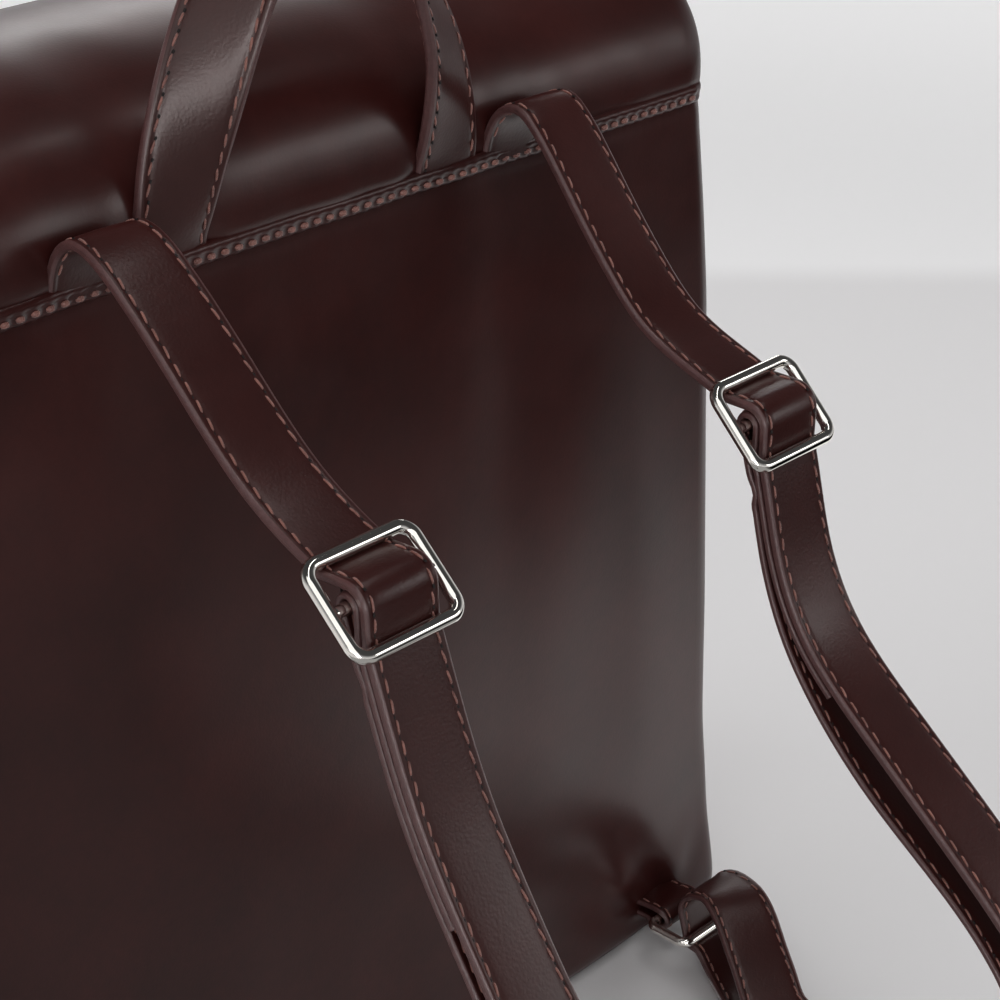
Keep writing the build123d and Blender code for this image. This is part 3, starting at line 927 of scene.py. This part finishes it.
def strap_runs(y, z, tilt, sag, loop, slack, bulge):
    """Centre lines of one outer strap and of its return, on the right-hand side."""
    hold = SliderFrame(y, z, tilt)
    root = smooth_run([(STRAP_X, *p) for p in ROOT_RISE], (0, 0.1, 1), (0, 1, 0), 1.2)
    wave = hold.arc(-BAR_GAP, UNDER_R, -90 + ARRIVE, -90 + CLIMB, 6)
    middle = [root[-1], *[(STRAP_X, *p) for p in sag], wave[0]]
    run = smooth_run(middle, (0, 1, 0), wave[1] - wave[0], 2.0)[1:-1]
    under_top = len(root) + len(run)
    wave += hold.arc(0, OVER_R, 90 + CLIMB, 90 - CLIMB, 12)
    wave += hold.arc(BAR_GAP, UNDER_R, -90 - CLIMB, -90 - LEAVE, 3)
    under_ring = np.array([RING_X, RING_OUT_Y + 1, UNDER_RING_Z])
    hanging = [wave[-1], *[(STRAP_X + x, yy, zz) for x, yy, zz in loop], under_ring]
    down = smooth_run(hanging, wave[-1] - wave[-2], (0, -1, 0), 2.6)[1:]
    wrap = [
        np.array([RING_X, RING_OUT_Y + WRAP_R * cos(a), RING_Z + WRAP_R * sin(a)])
        for a in np.radians(np.linspace(-90, -185, 10))
    ]
    points = np.concatenate([root, run, wave, down, wrap])
    straight = len(root) + len(run) + len(wave)
    across = np.tile([1.0, 0, 0], (len(points), 1))
    across[straight : straight + len(down)] = turned(down)
    outer = Run(points, across)
    split = outer.s[under_top]

    # Return run: over the ring, inside the loop, up to the eye round the middle bar, and a sewn tail
    loop_run = Run(down, turned(down))
    tail_lift = STRAP_T / 2 + FIT + EYE_T / 2
    return_lift = tail_lift + EYE_T + 0.25
    total = loop_run.s[-1]
    from_ring = radians(-165)
    rise_y, rise_z = RING_OUT_Y + WRAP_R * cos(from_ring), RING_Z + WRAP_R * sin(from_ring)
    inner = [np.array([RING_X, rise_y, rise_z])]
    far = down[::-1]
    for yy, zz in RING_HUMP:
        inner.append(np.array([np.interp(yy, far[:20, 1], far[:20, 0]), yy, zz]))
    twist = turned(down)
    sideways = [np.array([1.0, 0, 0])] * 6 + [twist[-k] for k in (6, 9, 12, 16, 20)]
    for s in np.linspace(total - HUMP_LONG, total * 0.018, 150):
        along = s / total
        lift = return_lift + slack * sin(pi * min(1.0, max(0.0, (along - 0.08) / 0.8))) ** 2
        lift += bulge * np.exp(-(((along - 0.18) / 0.08) ** 2))
        p, _, side_way, out = loop_run.at(s)
        inner.append(p - out * lift)
        sideways.append(side_way)
    for run_at, out_at in ((14.7, -9.7), (10.8, -8.3), (8.2, -7.1), (3, -4.28)):
        inner.append(hold.at(run_at, out_at))
    inner += hold.arc(0, BAR_R + FIT + EYE_T / 2, -117, -315, 16)
    for run_at, out_at in ((6, -2.7), (8.2, -4.75), (11, -5.85)):
        inner.append(hold.at(run_at, out_at))
    for s in np.linspace(2, total * 0.135, 24):
        p, _, _, out = loop_run.at(s)
        inner.append(p - out * tail_lift)
    sideways += [np.array([1.0, 0, 0])] * (len(inner) - len(sideways))
    inner = np.array(inner)
    ways = unit(np.diff(inner, axis=0))
    inner = smooth_run(inner, ways[0], ways[-1], 2.2)
    spots = np.linspace(0, 1, len(inner))
    sideways = np.array(sideways)
    known = np.linspace(0, 1, len(sideways))
    sideways = np.stack([np.interp(spots, known, sideways[:, k]) for k in range(3)], axis=1)
    return outer, split, Run(inner, sideways), hold


def flip_point(p, side):
    return tuple(float(v) * MM for v in (p[0] * side, p[1], p[2]))


SETS = (
    ("right", 1, strap_runs(148.5, 243.0, 42.0, RIGHT_SAG, RIGHT_LOOP, 1.5, 0.0)),
    ("left", -1, strap_runs(143.0, 236.5, 45.0, LEFT_SAG, LEFT_LOOP, 7.0, 5.0)),
)
for name, side, (outer, split, inner, hold) in SETS:
    if side < 0:
        outer, inner = mirrored(outer), mirrored(inner)
    near = flip_point(hold.at(BAR_GAP + 6, 0), side)
    build = Builder()
    upper = outer.part(0, split)
    sweep(build, upper, STRAP_W, STRAP_T)
    sew_strap(build, upper, STRAP_W, STRAP_T, 2, first=9.0, last=1.5)
    piece = build.make("shoulder_strap_upper_" + name, (STRAP, EDGE, THREAD, HOLE_SHADE))
    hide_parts("shoulder_strap_" + name)
    above, close_by = flip_point((STRAP_X, 84, 289), side), flip_point(hold.at(-BAR_GAP - 3, 0), side)
    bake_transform(piece)

    build = Builder()
    lower = outer.part(split, outer.s[-1])
    sweep(build, lower, STRAP_W, STRAP_T)
    sew_strap(build, lower, STRAP_W, STRAP_T, 2, first=1.5)
    piece = build.make("shoulder_strap_lower_" + name, (STRAP, EDGE, THREAD, HOLE_SHADE))
    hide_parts("shoulder_strap_" + name)
    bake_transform(piece)

    build = Builder()
    sweep(build, inner, STRAP_W, EYE_T, crown=0.1)
    sew_strap(build, inner, STRAP_W, EYE_T, 2)
    piece = build.make("strap_return_leather_" + name, (STRAP, EDGE, THREAD, HOLE_SHADE))
    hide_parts("strap_return_" + name)
    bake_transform(piece)

    # Tab: a short folded strap that holds the ring in the bag's lower corner
    loop = [(53.0, RING_Z + 2.0), (57.5, RING_Z + 2.3), (60.0, RING_Z + 2.7)]
    loop += [(RING_IN_Y + 3.3 * cos(a), RING_Z + 2.75 * sin(a)) for a in np.radians(np.linspace(80, -80, 15))]
    loop += [(60.0, RING_Z - 2.7), (57.5, RING_Z - 2.3), (53.0, RING_Z - 2.0)]
    tab_line = smooth_run([(side * RING_X, y, z) for y, z in loop], (0, 1, 0.1), (0, -1, 0.1), 0.9)
    tab_run = Run(tab_line, (1.0, 0, 0))
    build = Builder()
    sweep(build, tab_run, 18.0, 1.7, crown=0.12, squeeze=lambda s: 1 - 0.04 * sin(s / 3.0) ** 2)
    sew_strap(build, tab_run, 18.0, 1.7, 2, first=2.5, last=2.5, faces=(1,))
    tab = build.make("ring_tab_leather_" + name, (STRAP, EDGE, THREAD, HOLE_SHADE))
    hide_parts("ring_tab_" + name)
    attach(tab, "bag")

# ---------------------------------------------------------------- handle
half_line = [(HANDLE_X + 0.3, 55.4, 280.5), (HANDLE_X + 0.3, 56.2, 285.5)]
half_line += [(HANDLE_X - 0.3, 57.8, 293), (HANDLE_X - 2.0, 59.6, 304)]
half_line += [(HANDLE_X - 6, HANDLE_Y, 318), (HANDLE_X - 13, HANDLE_Y, 333), (17.5, HANDLE_Y, 350)]
other_half = [(-x, y, z) for x, y, z in reversed(half_line)]
handle_points = half_line + [(0, HANDLE_Y, HANDLE_TOP_Z)] + other_half
line = smooth_run(handle_points, (0, 0.1, 1), (0, -0.1, -1), 1.6)
span = np.linspace(0, 1, len(line))
ahead = unit(np.gradient(line, axis=0))
turn = (pi / 2 * np.clip((1 - np.abs(2 * span - 1) - 0.06) / 0.94, 0, 1) ** 1.05)[:, None]
level = np.stack([ahead[:, 2], np.zeros(len(line)), -ahead[:, 0]], axis=1)
across = level * np.cos(turn) - np.array([0, 1.0, 0]) * np.sin(turn)
handle_run = Run(line, across)
build = Builder()
sweep(build, handle_run, HANDLE_W, HANDLE_T, crown=0.35)
sew_strap(build, handle_run, HANDLE_W, HANDLE_T, 2, first=5.5, last=5.5)
handle = build.make("handle_leather", (STRAP, EDGE, THREAD, HOLE_SHADE))
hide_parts("handle")
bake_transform(handle)

# ---------------------------------------------------------------- inside
grid = face_panel(1, back_relief, 274.0, 60, 90, inset=HIDE + 0.4, reach=-11.0, from_z=9.0)
build = Builder()
sheet(build, grid, 2.4, zones=(0, 0, 0))
pad = build.make("back_padding", (FOAM,))
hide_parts("back_foam")
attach(pad, "bag")

LINING_FRONT_Y, LINING_BACK_Y = -52.0, 49.0
ring_a = np.linspace(0, 2 * pi, 8001)
square_x = np.sign(np.cos(ring_a)) * np.abs(np.cos(ring_a)) ** 0.28
square_y = np.sign(np.sin(ring_a)) * np.abs(np.sin(ring_a)) ** 0.28
gaps = np.hypot(np.diff(square_x) * 150, np.diff(square_y) * 50)
round_about = np.concatenate([[0], np.cumsum(gaps)])
even = np.linspace(0, round_about[-1], 201)[:-1]
square_x, square_y = np.interp(even, round_about, square_x), np.interp(even, round_about, square_y)
levels = list(np.linspace(281.2, 16, 60)) + [11, 8, 6.4]
shrink = [1.0] * 60 + [0.995, 0.985, 0.965]
for k in range(1, 12):
    levels.append(5.6 + 0.05 * k)
    shrink.append(0.95 * (1 - k / 11.6))
wrinkle = Waves(41, 60, stretch=(1.0, 0.8))
mid_y = (LINING_FRONT_Y + LINING_BACK_Y) / 2
deep = (LINING_BACK_Y - LINING_FRONT_Y) / 2
rows = []
for z, k in zip(levels, shrink):
    y = mid_y + square_y * deep * k
    wide = half_width(np.full_like(y, max(z, 8.0))) - 4.2
    wide = wide - side_sink(y, np.full_like(y, z)) * np.abs(square_x)
    x = square_x * wide * k
    fold = wrinkle(x + y, z) * 0.5 * ease((281 - z) / 30) * ease((z - 8) / 20)
    rows.append(np.stack([x * (1 - fold / 200), y - np.sign(y) * np.abs(fold), np.full_like(x, z)], axis=1))
skin = np.array(rows)
n, m = skin.shape[:2]
closed = np.concatenate([skin[:, -1:], skin, skin[:, :1]], axis=1)
facing = unit(np.cross(np.gradient(closed, axis=1), np.gradient(closed, axis=0)))[:, 1:-1]
inside = skin + facing * 0.7
build = Builder()
faces = []
for i in range(n - 1):
    for j in range(m):
        k = (j + 1) % m
        a, b, c, d = i * m + j, i * m + k, (i + 1) * m + k, (i + 1) * m + j
        faces += [(a, d, c, b), (n * m + a, n * m + b, n * m + c, n * m + d)]
for j in range(m):
    k = (j + 1) % m
    faces.append((j, k, n * m + k, n * m + j))
last = (n - 1) * m
faces += [tuple(last + j for j in range(m)), tuple(n * m + last + j for j in range(m))[::-1]]
build.add(np.concatenate([skin.reshape(-1, 3), inside.reshape(-1, 3)]), faces, 0)
lining = build.make("lining_cloth_sack", (CLOTH,))
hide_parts("lining")
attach(lining, "bag")


# ---------------------------------------------------------------- carried-over CAD nodes
def dress(name, mat):
    """Give a CAD node its finish, with smooth round faces."""
    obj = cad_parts[name]
    obj.data.materials.clear()
    obj.data.materials.append(mat)
    obj.data.polygons.foreach_set("use_smooth", [True] * len(obj.data.polygons))
    obj.data.update()


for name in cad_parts:
    if name.startswith(("slider", "ring_right", "ring_left")):
        dress(name, NICKEL)
    elif name.startswith("snap"):
        dress(name, SNAP)
    elif name.endswith("board"):
        dress(name, BOARD)

# ---------------------------------------------------------------- floor, light and camera
CAM_AT = (0.3362, 0.4429, 0.4646)
CAM_YAW, CAM_PITCH, CAM_LENS = radians(45.863), radians(26.80), 82.8
camera = bpy.data.objects.new("camera", bpy.data.cameras.new("camera"))
scene.collection.objects.link(camera)
camera.data.lens = CAM_LENS
camera.data.sensor_width = 36.0
camera.data.clip_start, camera.data.clip_end = 0.01, 50
camera.location = CAM_AT
heading = Vector((-sin(CAM_YAW) * cos(CAM_PITCH), -cos(CAM_YAW) * cos(CAM_PITCH), -sin(CAM_PITCH)))
camera.rotation_mode = "QUATERNION"
camera.rotation_quaternion = heading.to_track_quat("-Z", "Y")
scene.camera = camera


def level_grid(name, xs, ys, z, mat):
    """A flat level mesh over the given places, which are in metres."""
    gx, gy = np.meshgrid(xs, ys)
    wide = len(xs)
    faces = []
    for i in range(len(ys) - 1):
        for j in range(wide - 1):
            faces.append((i * wide + j, i * wide + j + 1, (i + 1) * wide + j + 1, (i + 1) * wide + j))
    grid_build = Builder()
    grid_build.add(np.stack([gx, gy, np.full_like(gx, z)], axis=2).reshape(-1, 3) / MM, faces, 0)
    return grid_build.make(name, (mat,))


FLOOR_HALF = 6.0
FLOOR_Z = -0.0003
PAINTED_WALL_AWAY = 1.19
floor_mat, tree, shader, at = new_material("floor")
ahead = (-sin(CAM_YAW), -cos(CAM_YAW), 0)
away = node(tree, "ShaderNodeVectorMath", {0: at, 1: ahead}, operation="DOT_PRODUCT").outputs["Value"]
PAINTED_WALL_LINE = PAINTED_WALL_AWAY - CAM_AT[0] * sin(CAM_YAW) - CAM_AT[1] * cos(CAM_YAW)


def glide(value, start, stop, low, high):
    """A smooth step from low to high."""
    inputs = {"Value": value, "From Min": start, "From Max": stop, "To Min": low, "To Max": high}
    return node(tree, "ShaderNodeMapRange", inputs, interpolation_type="SMOOTHSTEP").outputs["Result"]


# Past a line square to the camera's level heading the floor colour turns paler: painted light standing in for a
# lit wall where the floor would meet it, with a faint random mottle on top
painted_wall_step = glide(away, PAINTED_WALL_LINE - 0.012, PAINTED_WALL_LINE + 0.03, 0.0, 1.0)
mottled = noise(tree, at, 9, 3, 0.5)
shade = math(tree, "ADD", painted_wall_step, math(tree, "MULTIPLY", math(tree, "SUBTRACT", mottled, 0.5), 0.04))
pale = ramp(tree, shade, [(0.0, (0.82, 0.805, 0.81)), (1.0, (0.95, 0.94, 0.945))])
distance_for_painted_glow = node(tree, "ShaderNodeVectorMath", {0: at}, operation="LENGTH").outputs["Value"]
# The floor glows, from nothing at 0.8 m to strength 0.3 at 1.6 m from the centre: painted light brightening the
# far floor
FLOOR_LOOKS = {
    "Base Color": pale,
    "Roughness": 0.6,
    "Normal": bump(tree, noise(tree, at, 300, 2, 0.5), 0.04, 0.0005),
    "Emission Color": (1.0, 0.99, 0.995, 1.0),
    "Emission Strength": glide(distance_for_painted_glow, 0.8, 1.6, 0.0, 0.3),
}
plug(tree, shader, FLOOR_LOOKS)
floor_span = np.linspace(-FLOOR_HALF, FLOOR_HALF, 25)
level_grid("floor", floor_span, floor_span, FLOOR_Z, floor_mat)

world = bpy.data.worlds.new("studio")
scene.world = world
world.use_nodes = True
tree = world.node_tree
background = tree.nodes["Background"]
way = node(tree, "ShaderNodeTexCoord").outputs["Generated"]
height = node(tree, "ShaderNodeSeparateXYZ", {"Vector": way}).outputs["Z"]
SKY_STOPS = [
    (0.0, (0.8, 0.8, 0.8)),
    (0.52, (0.86, 0.86, 0.87)),
    (0.63, (0.42, 0.42, 0.43)),
    (0.74, (0.07, 0.07, 0.072)),
    (1.0, (0.05, 0.05, 0.05)),
]
sky = ramp(tree, math(tree, "MULTIPLY_ADD", height, 0.5, 0.5), SKY_STOPS)
plug(tree, background, {"Color": sky, "Strength": 0.75})


def softbox(name, at, towards, size, power, shine=True, fill=True):
    """A soft area light. Without shine no surface mirrors it, and without fill it is only mirrored."""
    lamp = bpy.data.lights.new(name, "AREA")
    lamp.shape = "RECTANGLE"
    lamp.size, lamp.size_y = size
    lamp.energy = power
    obj = bpy.data.objects.new(name, lamp)
    scene.collection.objects.link(obj)
    obj.location = at
    obj.rotation_mode = "QUATERNION"
    obj.rotation_quaternion = (Vector(towards) - Vector(at)).to_track_quat("-Z", "Y")
    obj.visible_glossy = shine
    obj.visible_diffuse = fill


softbox("overhead", (-0.5, -0.55, 1.75), (-0.2, -0.2, 0), (1.8, 1.8), 21, shine=False)
softbox("left_window", (1.1, -0.5, 0.9), (0, 0, 0.2), (0.9, 0.9), 5, shine=False)
softbox("right_fill", (-1.2, 0.7, 0.7), (0, 0.05, 0.15), (0.7, 1.0), 3.5, shine=False)
softbox("front_window", (0.75, 1.3, 0.42), (0, 0.06, 0.3), (0.4, 0.55), 6.0, fill=False)
softbox("camera_bank", (0.95, 1.1, 1.25), (0, 0.15, 0.2), (1.8, 1.8), 11.0)
softbox("low_panel", (-1.0, 1.25, 0.66), (0, 0.15, 0.2), (0.5, 0.35), 1.8, fill=False)
softbox("strip_across", (-0.1, 0.35, 1.5), (0, 0.1, 0.2), (1.3, 0.09), 2.2, fill=False)
softbox("strip_behind", (-0.9, -0.9, 0.75), (0, 0.1, 0.25), (0.9, 0.12), 2.0, fill=False)

# A low board in front of the bag that only mirror rays meet: pale close to the bag's left
# corner, and dark further off
CARD_X, CARD_Y, CARD_Z = (-2.4, 0.5), (0.085, 2.685), 0.0015
CARD_CELLS = 12
card_mat = bpy.data.materials.new("board_shade")
card_mat.use_nodes = True
tree = card_mat.node_tree
tree.nodes.clear()
at = node(tree, "ShaderNodeTexCoord").outputs["Object"]
spot = node(tree, "ShaderNodeSeparateXYZ", {"Vector": at}).outputs
close = glide(spot["Y"], 0.18, 0.31, 1.0, 0.0)
cornered = glide(spot["X"], -0.19, -0.07, 1.0, 0.0)
far_left = glide(spot["X"], -0.36, -0.16, 0.0, 0.30)
pale = math(tree, "MULTIPLY", close, cornered)
rest = math(tree, "MULTIPLY", math(tree, "SUBTRACT", 1.0, pale), far_left)
level = math(tree, "ADD", pale, rest)
glow = node(tree, "ShaderNodeEmission", {"Strength": level}).outputs["Emission"]
clear = node(tree, "ShaderNodeBsdfTransparent").outputs["BSDF"]
under = node(tree, "ShaderNodeNewGeometry").outputs["Backfacing"]
mixed = node(tree, "ShaderNodeMixShader", {0: under, 1: glow, 2: clear}).outputs["Shader"]
node(tree, "ShaderNodeOutputMaterial", {"Surface": mixed})
across_card, along_card = np.linspace(*CARD_X, CARD_CELLS + 1), np.linspace(*CARD_Y, CARD_CELLS + 1)
card = level_grid("reflected_board", across_card, along_card, CARD_Z, card_mat)
for ray_kind in ("camera", "diffuse", "shadow", "transmission", "volume_scatter"):
    setattr(card, "visible_" + ray_kind, False)
scene.view_settings.view_transform = "Standard"
